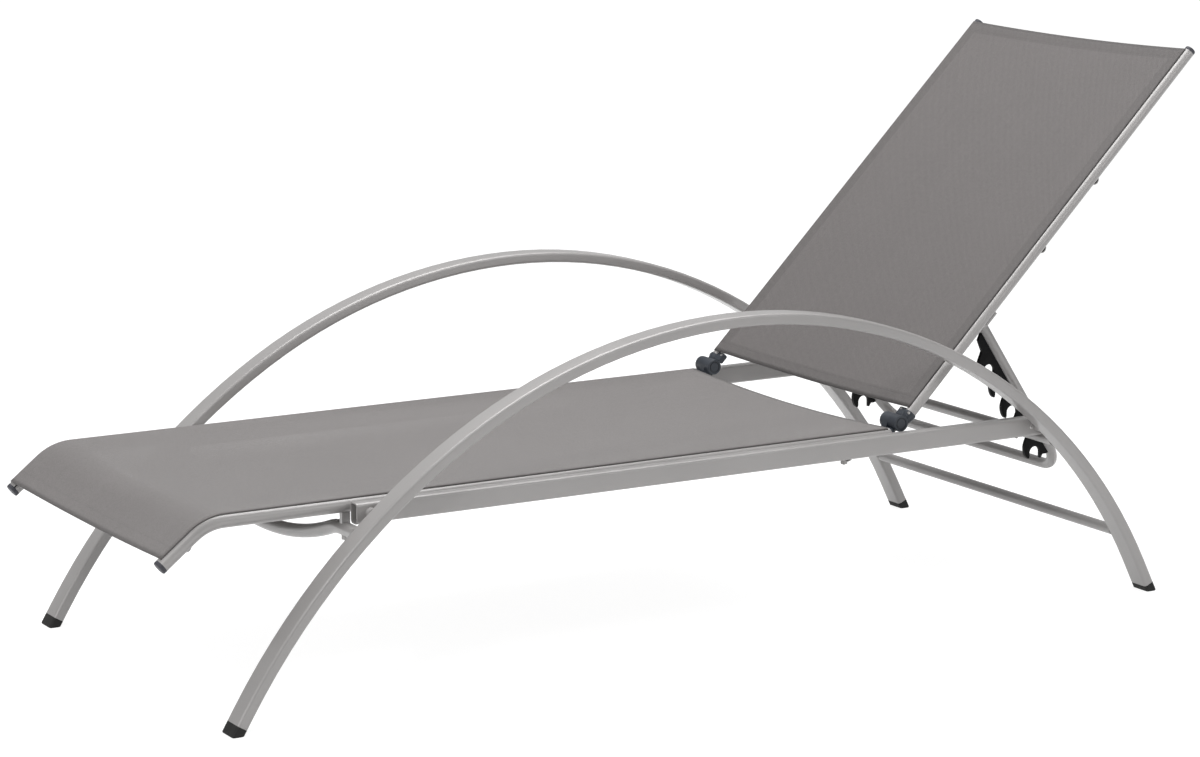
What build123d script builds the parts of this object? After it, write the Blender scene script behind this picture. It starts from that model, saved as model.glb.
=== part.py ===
from build123d import *
from math import asin, atan2, cos, degrees, radians, sin, sqrt
import os

# Sun lounger with arched arms, a stretched mesh bed and a backrest held by notched combs.
# Frame: +X runs from the foot end to the head end, +Y is the sleeper's right, +Z is up.
# The floor is Z = 0 and the origin lies under the middle of the whole lounger.

# Hinge line of the backrest
pin_x = 328.0
pin_z = 300.0
bed_half = 279.0  # from the middle plane to the axis of the seat and back rails

# Round tube for the crossbars, the bars and the prop frame
bar_diameter = 16.5
bar_wall = 1.6
spreader_diameter = 20.0
spreader_wall = 1.6

# Arched arm and leg tube, one bent flat-oval tube for each side
arch_width = 38.0
arch_thickness = 17.0
arch_corner = 4.5
arch_wall = 2.0
arch_foot_to_pin = 1121.7
arch_front_angle = 58.8
arch_front_leg = 31.0
arch_radii = (1020.0, 860.0, 810.0, 790.0)
arch_turns = (27.7, 30.4, 31.4, 33.4)
arch_standoff = 10.0  # sleeve between a side rail and its arch
sleeve_diameter = 16.0

# Foot caps
cap_length = 14.0
cap_plug_length = 22.0
cap_plug_clearance = 0.2
cap_edge = 2.0

# Side rails
side_width = 20.0
side_height = 29.7
side_corner = 5.0
side_wall = 1.8
side_top_z = 289.5
side_front_to_pin = 915.0
side_rear_reach = 15.0  # past the line where the rail meets the rear leg
rail_gap = 0.25
arch_bolt_to_joint = 13.0  # from the rear leg's line to a bolt through the side rail
arch_bolt_radius = 1.8
arch_bolt_head_radius = 3.2
arch_bolt_head_height = 1.6
arch_bolt_length = 9.0
hole_clearance = 0.05

# Seat rails, extruded with a channel for the edge cord of the sling
seat_rail_diameter = 20.5
seat_rail_z = 283.25
seat_rail_wall = 1.4
seat_rail_end_gap = 16.0  # from the end of a seat rail to the hinge line
seat_bend_to_pin = 1100.5
seat_bend_radius = 75.0
seat_bend_angle = 38.0
seat_drop_length = 58.0
channel_radius = 3.2
channel_inset = 6.75  # from the inner side of a rail to its channel
channel_depth = 5.65  # from the top of a rail to its channel
slot_height = 2.2
rail_cap_length = 6.0
rail_plug_length = 18.0
rail_plug_inset = 6.25  # from a rail's radius to its plug's
rail_plug_side = 2.6
rail_plug_drop = 2.8

# Sling sheets and their edge cords
sling_thickness = 1.0
cord_radius = 2.5
sling_end_gap = 3.0
sling_clearance = 0.8  # between a sling and the crossbars behind it

# Crossbars
bow_drop = 44.0
bow_blend = 100.0
front_spreader_to_pin = 919.0
front_spreader_z = 249.5
rear_spreader_to_pin = 96.0
foot_spreader_to_end = 42.0
foot_bow_drop = 30.0
tab_width = 12.5
tab_thickness = 8.0
nut_width = 10.0  # across the flats
nut_height = 5.0
nut_edge = 0.8
bolt_end_radius = 2.6
bolt_end_length = 1.2
crossing_gap = 0.3  # between two round tubes that cross
stretcher_z = 97.0

# Backrest
back_angle = 45.0
back_rail_diameter = 17.0
back_rail_wall = 1.3
back_rail_offset = 7.4  # the rail runs this far behind the pin
back_rail_start = 24.4
back_rail_end = 752.0
back_channel_radius = 2.6
back_channel_side = 3.0
back_channel_rise = 3.6
back_slot_height = 1.8
back_cord_radius = 2.0
back_plug_radius = 3.2
back_plug_side = 2.0
back_plug_drop = 2.6
back_sling_start = 33.0
back_sling_end = 748.0
back_spreader_places = (358.0, 496.0)
back_bow_drop = 26.0

# Hinges
knuckle_radius = 12.5
back_knuckle_width = 18.2
seat_knuckle_width = 22.6
knuckle_gap = 0.2
knuckle_side_gap = 0.3  # between a hinge and the side rail beside it
knuckle_edge = 1.0
hinge_recess_radius = 8.8
hinge_recess_depth = 1.6
hinge_pin_radius = 3.0
hinge_pin_clearance = 0.05
hinge_head_radius = 7.6
hinge_head_height = 1.2
hinge_head_gap = 0.2
collar_radius = 10.0
collar_start = 19.0
neck_radius = 5.5  # where the neck of the back leaf leaves the hinge line
shoulder_inset = 24.0  # from the back rail's axis to the inner end of the shoulder
shoulder_start = 14.0
shoulder_end = 29.5
shoulder_front = 2.0  # behind the pin
shoulder_depth = 9.0
shoulder_corner = 2.5
seat_flange = 4.0
hinge_plug_length = 24.0
rivet_radius = 1.2
rivet_head_radius = 2.2
rivet_head_height = 0.8
rivet_length = 4.0
collar_rivet_place = 21.0
collar_rivet_angle = 45.0  # from straight outboard toward the front of the back
shoulder_rivet_place = 25.5
shoulder_rivet_inset = 19.5
seat_rivet_to_pin = 19.0
seat_rivet_angle = 60.0  # from straight outboard toward the top

# Prop frame and combs
prop_inset = 40.0  # from the axis of a back rail to the axis of the prop leg
prop_pivot_place = 219.0  # along the back rail, from the foot of the pin
prop_pivot_offset = 19.8  # behind the axis of the back rail
prop_angle = 57.2
prop_length = 298.6
prop_bend_radius = 50.0
prop_bolt_radius = 4.0
prop_bolt_clearance = 0.05
prop_top_reach = 8.0
bolt_head_radius = 6.5
bolt_head_height = 3.0
bolt_side_gap = 0.3
lug_thickness = 3.5
lug_radius = 9.0
lug_gap = 2.0
lug_shelf_length = 26.0
comb_thickness = 5.5
comb_first = 79.0
comb_pitch = 41.1
comb_count = 5
free_notch_count = 3  # above the notch that takes the prop bar
comb_offset = 27.8
comb_start = 15.0
comb_end = 262.0
comb_shoulder = 27.0
comb_spine = 18.5
notch_clearance = 1.5
claw_outs = (13.0, 17.5, 20.2, 19.2, 15.6, 12.6)  # from a notch's middle out to its claw's back
claw_rises = (31.0, 20.0, 10.0, 1.5, -6.0, -8.6)  # and up from the notch's middle
claw_tip_rise = -4.5
lip_drop = 9.5
lip_width = 2.0
comb_tail_out = 21.0
comb_tail_drop = 4.0

os.makedirs("parts", exist_ok=True)

# Sizes that follow from those above
bar_radius = bar_diameter / 2
spreader_radius = spreader_diameter / 2
seat_rail_radius = seat_rail_diameter / 2
channel_side = seat_rail_radius - channel_inset
channel_rise = seat_rail_radius - channel_depth
rail_plug_radius = seat_rail_radius - rail_plug_inset
back_rail_radius = back_rail_diameter / 2
prop_half = bed_half - prop_inset
side_inner_y = bed_half + seat_rail_radius + rail_gap
side_outer_y = side_inner_y + side_width
side_y = side_inner_y + side_width / 2
side_z = side_top_z - side_height / 2
arch_y = side_outer_y + arch_standoff + arch_width / 2
arch_inner_y = arch_y - arch_width / 2
arch_foot_x = pin_x - arch_foot_to_pin
side_front_x = pin_x - side_front_to_pin
seat_rail_rear_x = pin_x - seat_rail_end_gap
seat_bend_x = pin_x - seat_bend_to_pin
sling_half = bed_half - channel_side - cord_radius
back_sling_half = bed_half - back_channel_side - back_cord_radius
knuckle_outer_y = side_inner_y - knuckle_side_gap
knuckle_middle_y = knuckle_outer_y - back_knuckle_width
knuckle_inner_y = knuckle_middle_y - knuckle_gap - seat_knuckle_width
sides = {"left": -1, "right": 1}


def side_plane(y):
    """An upright lengthwise plane at one distance from the middle: local x is X, local y is Z."""
    return Plane(origin=(0, y, 0), x_dir=(1, 0, 0), z_dir=(0, -1, 0))


def back_plane(y):
    """The same plane turned to the backrest: local x runs up the back, local y out of its front."""
    return Plane(origin=(pin_x, y, pin_z), x_dir=(cos(radians(back_angle)), 0, sin(radians(back_angle))),
                 z_dir=(0, -1, 0))


def finish(part, name):
    """Label a finished piece and write its file."""
    part.part.label = name
    export_step(part.part, "parts/" + name + ".step")


def arch_walk(distance):
    """The point and heading that a walk up the arch's centre line has reached."""
    x, z, heading = arch_foot_x, 0.0, radians(arch_front_angle)
    pieces = [(arch_front_leg, 0.0)]
    pieces += [(radius * radians(turn), 1 / radius) for radius, turn in zip(arch_radii, arch_turns)]
    for length, bend in pieces:
        step = min(length, distance)
        if bend == 0.0:
            x += step * cos(heading)
            z += step * sin(heading)
        else:
            after = heading - step * bend
            x += (sin(heading) - sin(after)) / bend
            z += (cos(after) - cos(heading)) / bend
            heading = after
        distance -= step
        if distance <= 0:
            return x, z, heading
    return x + distance * cos(heading), z + distance * sin(heading), heading


arch_arcs_length = arch_front_leg + sum(r * radians(t) for r, t in zip(arch_radii, arch_turns))
arcs_end_x, arcs_end_z, rear_heading = arch_walk(arch_arcs_length)
arch_rear_leg = arcs_end_z / -sin(rear_heading)
arch_length = arch_arcs_length + arch_rear_leg


def arch_at_height(height, rear):
    """Where the centre line of the front or rear leg passes a height."""
    low, high = (arch_length, arch_length / 2) if rear else (0.0, arch_length / 2)
    for _ in range(50):
        middle = (low + high) / 2
        if arch_walk(middle)[1] < height:
            low = middle
        else:
            high = middle
    return arch_walk((low + high) / 2)[0]


front_joint_x = arch_at_height(side_z, False)
rear_joint_x = arch_at_height(side_z, True)
stretcher_x = arch_at_height(stretcher_z, True)
side_rear_x = rear_joint_x + side_rear_reach


# Arches, one bent tube on each side, from the front foot over the arm to the rear foot
for side, sign in sides.items():
    with BuildPart() as arch:
        with BuildLine(side_plane(sign * arch_y)) as arch_path:
            start_x, start_z, _ = arch_walk(cap_length)
            leg_x, leg_z, _ = arch_walk(arch_front_leg)
            run = Line((start_x, start_z), (leg_x, leg_z))
            for radius, turn in zip(arch_radii, arch_turns):
                run = JernArc(run @ 1, run % 1, radius, -turn)
            end_x, end_z, _ = arch_walk(arch_length - cap_length)
            Line(run @ 1, (end_x, end_z))
        with BuildSketch(Plane(arch_path.wire() @ 0, x_dir=(0, 1, 0), z_dir=arch_path.wire() % 0)):
            RectangleRounded(arch_width, arch_thickness, arch_corner)
            RectangleRounded(arch_width - 2 * arch_wall, arch_thickness - 2 * arch_wall,
                             arch_corner - arch_wall, mode=Mode.SUBTRACT)
        sweep(path=arch_path.wire())
    finish(arch, "arch_" + side)

# Foot caps, plugged into the arch ends and cut flat to the floor
for end, rear in {"front": False, "rear": True}.items():
    for side, sign in sides.items():
        tip = arch_length if rear else 0.0
        seat = arch_length - cap_length if rear else cap_length
        tip_x, tip_z, _ = arch_walk(tip)
        seat_x, seat_z, heading = arch_walk(seat)
        up = (-cos(heading), 0, -sin(heading)) if rear else (cos(heading), 0, sin(heading))
        cap_plane = Plane((seat_x, sign * arch_y, seat_z), x_dir=(0, 1, 0), z_dir=up)
        with BuildPart() as foot:
            with BuildSketch(cap_plane):
                RectangleRounded(arch_width, arch_thickness, arch_corner)
            extrude(amount=-cap_length * 2)
            with BuildSketch(cap_plane):
                RectangleRounded(arch_width - 2 * (arch_wall + cap_plug_clearance),
                                 arch_thickness - 2 * (arch_wall + cap_plug_clearance),
                                 arch_corner - arch_wall - cap_plug_clearance)
            extrude(amount=cap_plug_length)
            split(bisect_by=Plane.XY, keep=Keep.TOP)
            fillet(foot.faces().sort_by(Axis.Z)[0].edges(), cap_edge)
        finish(foot, "foot_" + end + "_" + side)


def arch_bolt_plane(sign):
    """The outer face of a side rail around its bolt, facing outward."""
    return Plane((rear_joint_x - arch_bolt_to_joint, sign * side_outer_y, side_z), z_dir=(0, sign, 0))


# Side rails, with both ends cut square, and the sleeves that carry the arches on them
for side, sign in sides.items():
    with BuildPart() as side_rail:
        with BuildSketch(Plane((side_front_x, sign * side_y, side_z), x_dir=(0, 1, 0), z_dir=(1, 0, 0))):
            RectangleRounded(side_width, side_height, side_corner)
            RectangleRounded(side_width - 2 * side_wall, side_height - 2 * side_wall,
                             side_corner - side_wall, mode=Mode.SUBTRACT)
        extrude(amount=side_rear_x - side_front_x)
        with BuildSketch(arch_bolt_plane(sign)):
            Circle(arch_bolt_radius + hole_clearance)
        extrude(amount=-side_width / 2, mode=Mode.SUBTRACT)
    finish(side_rail, "side_rail_" + side)

with BuildPart() as sleeves:
    for joint_x in (front_joint_x, rear_joint_x):
        for sign in sides.values():
            with BuildSketch(Plane((joint_x, sign * side_outer_y, side_z), z_dir=(0, sign, 0))):
                Circle(sleeve_diameter / 2)
            extrude(amount=arch_standoff)
finish(sleeves, "arch_sleeves")

with BuildPart() as arch_bolts:
    for sign in sides.values():
        with BuildSketch(arch_bolt_plane(sign)):
            Circle(arch_bolt_head_radius)
        extrude(amount=arch_bolt_head_height)
        with BuildSketch(arch_bolt_plane(sign)):
            Circle(arch_bolt_radius)
        extrude(amount=-arch_bolt_length)
    rims = arch_bolts.edges().filter_by(GeomType.CIRCLE).sort_by(Axis.Y)
    fillet((rims[0], rims[-1]), arch_bolt_head_height / 2)
finish(arch_bolts, "arch_bolts")


def rail_section(plane, sign, radius, wall, channel, bore, slot):
    """Extruded rail outline: a round tube with a closed channel whose slot opens inward."""
    inward, rise = -sign * channel[0], channel[1]
    with BuildSketch(plane) as section:
        Circle(radius)
        Circle(radius - wall, mode=Mode.SUBTRACT)
        with Locations((inward, rise)):
            Circle(bore + wall)
        Circle(radius, mode=Mode.INTERSECT)
        with Locations((inward, rise)):
            Circle(bore, mode=Mode.SUBTRACT)
        with Locations((inward - sign * radius / 2, rise)):
            Rectangle(radius, slot, mode=Mode.SUBTRACT)
    return section.sketch


def seat_rivet_plane(sign):
    """Where a rivet meets the seat rail beside its hinge, facing out of the rail."""
    up, out = sin(radians(seat_rivet_angle)), cos(radians(seat_rivet_angle))
    return Plane((pin_x - seat_rivet_to_pin, sign * (bed_half + out * seat_rail_radius),
                  seat_rail_z + up * seat_rail_radius), z_dir=(0, sign * out, up))


# Seat rails, bent down at the foot end, with their end caps and edge cords
def seat_path(sign, side_shift, rise, back_off):
    """Centre line of a seat rail, shifted inward and up, from the hinge to the foot end."""
    y = sign * (bed_half - side_shift)
    with BuildLine(side_plane(y)) as path:
        flat = Line((seat_rail_rear_x, seat_rail_z + rise), (seat_bend_x, seat_rail_z + rise))
        bend = JernArc(flat @ 1, flat % 1, seat_bend_radius + rise, seat_bend_angle)
        heading = radians(seat_bend_angle)
        reach = seat_drop_length - back_off
        Line(bend @ 1, bend @ 1 + Vector(-cos(heading), 0, -sin(heading)) * reach)
    return path.wire()


seat_tip = seat_path(1, 0, 0, 0) @ 1
for side, sign in sides.items():
    rail_wire = seat_path(sign, 0, 0, 0)
    with BuildPart() as seat_rail:
        seat_outline = rail_section(Plane(rail_wire @ 0, x_dir=(0, 1, 0), z_dir=(-1, 0, 0)), sign,
                                    seat_rail_radius, seat_rail_wall, (channel_side, -channel_rise),
                                    channel_radius, slot_height)
        sweep(seat_outline, path=rail_wire)
        with BuildSketch(seat_rivet_plane(sign)):
            Circle(rivet_radius + hole_clearance)
        extrude(amount=rivet_length, both=True, mode=Mode.SUBTRACT)
    finish(seat_rail, "seat_rail_" + side)

    with BuildPart() as rail_cap:
        cap_face = Plane(rail_wire @ 1, x_dir=(0, 1, 0), z_dir=rail_wire % 1)
        with BuildSketch(cap_face):
            Circle(seat_rail_radius)
        extrude(amount=rail_cap_length)
        fillet(rail_cap.faces().sort_by(Axis(rail_wire @ 1, rail_wire % 1))[-1].edges(), cap_edge)
        with BuildSketch(cap_face):
            with Locations((sign * rail_plug_side, rail_plug_drop)):
                Circle(rail_plug_radius)
        extrude(amount=-rail_plug_length)
    finish(rail_cap, "seat_rail_cap_" + side)

with BuildPart() as seat_cords:
    for sign in sides.values():
        cord_wire = seat_path(sign, channel_side, channel_rise, sling_end_gap)
        with BuildSketch(Plane(cord_wire @ 0, z_dir=(-1, 0, 0))):
            Circle(cord_radius)
        sweep(path=cord_wire)
finish(seat_cords, "seat_edge_cords")

# Seat sling, one stretched sheet that follows the bend of the rails
with BuildPart() as seat_sling:
    sheet_wire = seat_path(1, bed_half, channel_rise, sling_end_gap)
    with BuildSketch(Plane(sheet_wire @ 0, x_dir=(0, 1, 0), z_dir=(-1, 0, 0))):
        Rectangle(2 * sling_half, sling_thickness)
    sweep(path=sheet_wire)
finish(seat_sling, "seat_sling")


def bowed_wire(half, drop, angle, plane):
    """A crossbar's centre line: level ends, blend bends and one long bow between them."""
    turn = radians(angle)
    bow_rise = drop - bow_blend * (1 - cos(turn))
    bow_radius = bow_rise / (1 - cos(turn))
    knee = (bow_radius + bow_blend) * sin(turn)
    with BuildLine(plane) as path:
        stub = Line((-half, 0), (-knee, 0))
        first = JernArc(stub @ 1, stub % 1, bow_blend, -angle)
        middle = JernArc(first @ 1, first % 1, bow_radius, 2 * angle)
        last = JernArc(middle @ 1, middle % 1, bow_blend, -angle)
        Line(last @ 1, (half, 0))
    return path.wire()


def bow_angle_for(half, drop):
    """The bow's end slope that lets the bow and both blends just fill a span."""
    low, high = 0.5, 40.0
    for _ in range(50):
        angle = radians((low + high) / 2)
        reach = (drop - bow_blend * (1 - cos(angle))) / (1 - cos(angle)) * sin(angle) + bow_blend * sin(angle)
        if reach > half:
            low = (low + high) / 2
        else:
            high = (low + high) / 2
    return (low + high) / 2


def bowed_bar(name, plane, half, drop, knee_half, radius, wall, rail_radius=0.0, rail_rise=0.0):
    """A bowed tube between the two sides, its ends cut to fit round rails where it meets them."""
    wire = bowed_wire(half, drop, bow_angle_for(knee_half, drop), plane)
    with BuildPart() as bar:
        with BuildSketch(Plane(wire @ 0, z_dir=wire % 0)):
            Circle(radius)
            Circle(radius - wall, mode=Mode.SUBTRACT)
        sweep(path=wire)
        if rail_radius:
            with BuildSketch(plane):
                with Locations((-bed_half, rail_rise), (bed_half, rail_rise)):
                    Circle(rail_radius)
            extrude(amount=2 * radius, both=True, mode=Mode.SUBTRACT)
    finish(bar, name)


def cross_plane(x, z):
    """A plane across the lounger: local x is Y and local y is Z."""
    return Plane(origin=(x, 0, z), x_dir=(0, 1, 0), z_dir=(1, 0, 0))


front_spreader_x = pin_x - front_spreader_to_pin
rear_spreader_x = pin_x - rear_spreader_to_pin
rear_spreader_z = seat_rail_z - seat_rail_radius - crossing_gap - spreader_radius
knee_half = bed_half - spreader_radius
bowed_bar("front_spreader", cross_plane(front_spreader_x, front_spreader_z), arch_inner_y, bow_drop,
          knee_half, spreader_radius, spreader_wall)
bowed_bar("rear_spreader", cross_plane(rear_spreader_x, rear_spreader_z), side_inner_y, bow_drop,
          knee_half, spreader_radius, spreader_wall)
foot_heading = radians(seat_bend_angle)
foot_bar_drop = bar_radius + sling_clearance + sling_thickness / 2 - channel_rise
foot_spreader_x = seat_tip.X + foot_spreader_to_end * cos(foot_heading) + foot_bar_drop * sin(foot_heading)
foot_spreader_z = seat_tip.Z + foot_spreader_to_end * sin(foot_heading) - foot_bar_drop * cos(foot_heading)
bowed_bar("foot_spreader", Plane((foot_spreader_x, 0, foot_spreader_z), x_dir=(0, 1, 0),
                                 z_dir=(cos(foot_heading), 0, sin(foot_heading))),
          bed_half, foot_bow_drop, knee_half - bar_radius, bar_radius, bar_wall, seat_rail_radius,
          foot_bar_drop)

# Posts and nuts that tie the two larger spreaders to the seat rails
for name, x, z in (("front", front_spreader_x, front_spreader_z), ("rear", rear_spreader_x, rear_spreader_z)):
    with BuildPart() as tabs:
        for sign in sides.values():
            if name == "front":
                with BuildSketch(Plane((x, sign * bed_half, z), x_dir=(1, 0, 0), z_dir=(0, 0, 1))):
                    Rectangle(tab_width, tab_thickness)
                extrude(amount=seat_rail_z - z)
            with BuildSketch(Plane((x, sign * bed_half, z), z_dir=(0, 0, -1))):
                RegularPolygon(nut_width / 2, 6, major_radius=False)
            extrude(amount=spreader_radius + nut_height)
            nut_face = tabs.faces().filter_by(Axis.Z).sort_by(Axis.Z)[0]
            chamfer(nut_face.edges(), nut_edge)
            with BuildSketch(Plane((x, sign * bed_half, z - spreader_radius - nut_height), z_dir=(0, 0, -1))):
                Circle(bolt_end_radius)
            extrude(amount=bolt_end_length)
        for sign in sides.values():
            with BuildSketch(Plane((x - tab_width, sign * bed_half, seat_rail_z), z_dir=(1, 0, 0))):
                Circle(seat_rail_radius)
            extrude(amount=2 * tab_width, mode=Mode.SUBTRACT)
        with BuildSketch(Plane((x, 0, z), z_dir=(0, 1, 0))):
            Circle(spreader_radius)
        extrude(amount=arch_y, both=True, mode=Mode.SUBTRACT)
    finish(tabs, name + "_spreader_tabs")


def straight_bar(name, x, z, half):
    """A straight tube across the lounger."""
    with BuildPart() as bar:
        with BuildSketch(Plane((x, -half, z), z_dir=(0, 1, 0))):
            Circle(bar_radius)
            Circle(bar_radius - bar_wall, mode=Mode.SUBTRACT)
        extrude(amount=2 * half)
    finish(bar, name)


# Prop frame geometry, worked out in the plane of the side view from the backrest's hinge
def on_back(place, front):
    """A point of the side view, given along the back rail and out of the back's front."""
    c, s = cos(radians(back_angle)), sin(radians(back_angle))
    return pin_x + place * c - front * s, pin_z + place * s + front * c


pivot_x, pivot_z = on_back(prop_pivot_place, -back_rail_offset - prop_pivot_offset)
prop_c, prop_s = cos(radians(prop_angle)), sin(radians(prop_angle))


def on_prop(along, front):
    """A point of the side view, given down the prop leg from its pivot and out of its front."""
    return pivot_x + along * prop_c - front * prop_s, pivot_z - along * prop_s - front * prop_c


notches = [on_prop(comb_first + i * comb_pitch, comb_offset) for i in range(comb_count)]
prop_bar_x, notch_z = notches[free_notch_count]
prop_bar_z = notch_z + notch_clearance - crossing_gap
straight_bar("prop_bar", prop_bar_x, prop_bar_z, arch_inner_y)
straight_bar("rear_stretcher", stretcher_x, stretcher_z, arch_inner_y)

def rail_mouth(sign):
    """The lower end of a back rail, facing up the rail."""
    return Plane(back_plane(sign * bed_half).from_local_coords((back_rail_start, -back_rail_offset, 0)),
                 x_dir=(0, 1, 0), z_dir=back_plane(0).x_dir)


# Backrest rails with their dark end plugs
for side, sign in sides.items():
    tip = Plane(back_plane(sign * bed_half).from_local_coords((back_rail_end, -back_rail_offset, 0)),
                x_dir=(0, 1, 0), z_dir=back_plane(0).x_dir)
    with BuildPart() as back_rail:
        back_outline = rail_section(rail_mouth(sign), sign, back_rail_radius, back_rail_wall,
                                    (back_channel_side, back_channel_rise), back_channel_radius,
                                    back_slot_height)
        extrude(back_outline, amount=back_rail_end - back_rail_start)
    finish(back_rail, "back_rail_" + side)

    with BuildPart() as back_cap:
        with BuildSketch(tip):
            Circle(back_rail_radius)
        extrude(amount=rail_cap_length)
        fillet(back_cap.faces().sort_by(Axis(tip.origin, tip.z_dir))[-1].edges(), cap_edge)
        with BuildSketch(tip):
            with Locations((sign * back_plug_side, -back_plug_drop)):
                Circle(back_plug_radius)
        extrude(amount=-rail_plug_length)
    finish(back_cap, "back_rail_cap_" + side)

back_cross = Plane(back_plane(0).from_local_coords((back_sling_start, -back_rail_offset, 0)),
                   x_dir=(0, 1, 0), z_dir=back_plane(0).x_dir)
with BuildPart() as back_cords:
    with BuildSketch(back_cross):
        for sign in sides.values():
            with Locations((sign * (bed_half - back_channel_side), back_channel_rise)):
                Circle(back_cord_radius)
    extrude(amount=back_sling_end - back_sling_start)
finish(back_cords, "back_edge_cords")

with BuildPart() as back_sling:
    with BuildSketch(back_cross):
        with Locations((0, back_channel_rise)):
            Rectangle(2 * back_sling_half, sling_thickness)
    extrude(amount=back_sling_end - back_sling_start)
finish(back_sling, "back_sling")

# Backrest spreaders, bowed away from the sleeper, their saddle-cut ends just behind the sling
back_bar_drop = bar_radius + sling_clearance + sling_thickness / 2 - back_channel_rise
for number, place in enumerate(back_spreader_places):
    place_x, place_z = on_back(place, -back_rail_offset - back_bar_drop)
    bowed_bar("back_spreader_" + ("lower", "upper")[number],
              Plane((place_x, 0, place_z), x_dir=(0, 1, 0), z_dir=back_plane(0).x_dir),
              bed_half, back_bow_drop, knee_half - bar_radius, bar_radius, bar_wall, back_rail_radius,
              back_bar_drop)

# Hinges: the seat leaf is plugged into the seat rail, the back leaf into the back rail
def knuckle(sign, inner_y, outer_y):
    """A round knuckle on the hinge line; the end away from its partner has a bevelled rim."""
    outward = 1 if inner_y < outer_y else -1
    rim_y = outer_y - outward * knuckle_edge
    for start_y, length, taper in ((inner_y, abs(rim_y - inner_y), 0), (rim_y, knuckle_edge, 45)):
        with BuildSketch(Plane((pin_x, sign * start_y, pin_z), z_dir=(0, outward * sign, 0))) as disc:
            Circle(knuckle_radius)
        extrude(disc.sketch, amount=length, taper=taper)


def bore_knuckle(sign, inner_y, outer_y):
    """The pin's bore through a knuckle and the round recess for the pin's head at its far end."""
    outward = 1 if inner_y < outer_y else -1
    recess_y = outer_y - outward * hinge_recess_depth
    for start_y, radius in ((inner_y, hinge_pin_radius + hinge_pin_clearance), (recess_y, hinge_recess_radius)):
        with BuildSketch(Plane((pin_x, sign * start_y, pin_z), z_dir=(0, outward * sign, 0))) as disc:
            Circle(radius)
        extrude(disc.sketch, amount=abs(outer_y - start_y), mode=Mode.SUBTRACT)


def collar_rivet_plane(sign):
    """Where a rivet meets the back leaf's collar, facing out of it."""
    front, out = sin(radians(collar_rivet_angle)), cos(radians(collar_rivet_angle))
    x, z = on_back(collar_rivet_place, front * collar_radius - back_rail_offset)
    outward = back_plane(0).y_dir * front + Vector(0, sign * out, 0)
    return Plane((x, sign * (bed_half + out * collar_radius), z), z_dir=outward)


def shoulder_rivet_plane(sign):
    """The front of the back leaf's shoulder around its rivet."""
    x, z = on_back(shoulder_rivet_place, -shoulder_front)
    return Plane((x, sign * (bed_half - shoulder_rivet_inset), z), z_dir=back_plane(0).y_dir)


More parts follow.
